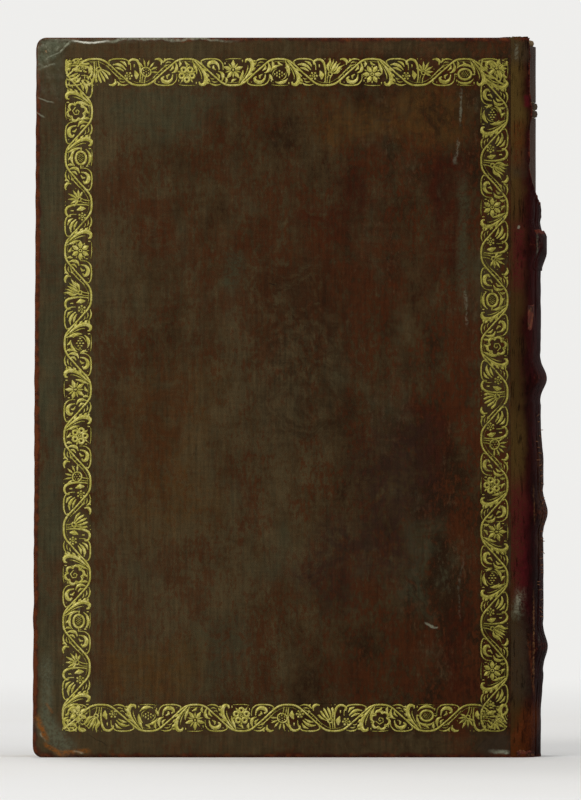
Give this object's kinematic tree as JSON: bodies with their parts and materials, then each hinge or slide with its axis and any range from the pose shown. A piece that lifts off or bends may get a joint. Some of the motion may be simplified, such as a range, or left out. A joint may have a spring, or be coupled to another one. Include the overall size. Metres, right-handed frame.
{
  "type": "antique leather book",
  "caption": "Antique leather-bound book standing on its tail edges: raised cords, a worn spine, a gold roll border on both covers, and two covers that open.",
  "frame": {"origin": "middle of the closed book's box, on the surface that its tail edges stand on", "axes": "+Z from tail to head, +X from the fore-edge to the spine, -Y out of the lower (back) cover"},
  "size_m": [0.2134, 0.0454, 0.3],
  "materials": {
    "cover_calf": "worn satin",
    "spine_calf": "dry and cracked",
    "gold_leaf": "rubbed leaf",
    "page_edges": "matt",
    "endpaper": "matt",
    "spine_paper": "matt",
    "pasteboard": "matt",
    "hemp_cord": "matt",
    "endband_thread": "matt"
  },
  "bodies": {
    "book_block": {"text_block": "page_edges", "head_endband": "endband_thread", "tail_endband": "endband_thread", "sewing_cord_1": "hemp_cord", "sewing_cord_2": "hemp_cord", "sewing_cord_3": "hemp_cord", "sewing_cord_4": "hemp_cord", "sewing_cord_5": "hemp_cord", "spine_lining_1": "spine_paper", "spine_lining_2": "spine_paper", "spine_lining_3": "spine_paper", "spine_lining_4": "spine_paper", "spine_lining_5": "spine_paper", "spine_lining_6": "spine_paper", "spine_leather": "spine_calf"},
    "back_cover": {"back_board": "pasteboard", "back_leather": "cover_calf", "back_infill": "endpaper", "back_pastedown": "endpaper", "back_gilt_border": "gold_leaf", "back_cord_slip_1": "hemp_cord", "back_cord_slip_2": "hemp_cord", "back_cord_slip_3": "hemp_cord", "back_cord_slip_4": "hemp_cord", "back_cord_slip_5": "hemp_cord"},
    "front_cover": {"front_board": "pasteboard", "front_leather": "cover_calf", "front_infill": "endpaper", "front_pastedown": "endpaper", "front_gilt_border": "gold_leaf", "front_cord_slip_1": "hemp_cord", "front_cord_slip_2": "hemp_cord", "front_cord_slip_3": "hemp_cord", "front_cord_slip_4": "hemp_cord", "front_cord_slip_5": "hemp_cord"}
  },
  "joints": [
    {"name": "back_cover_hinge", "type": "hinge", "parent": "book_block", "child": "back_cover", "pos_m": [0.09133, -0.0227, 0.15], "axis": [0, 0, 1], "range_deg": [0, 180]},
    {"name": "front_cover_hinge", "type": "hinge", "parent": "book_block", "child": "front_cover", "pos_m": [0.09133, 0.0227, 0.15], "axis": [0, 0, -1], "range_deg": [0, 180]}
  ]
}
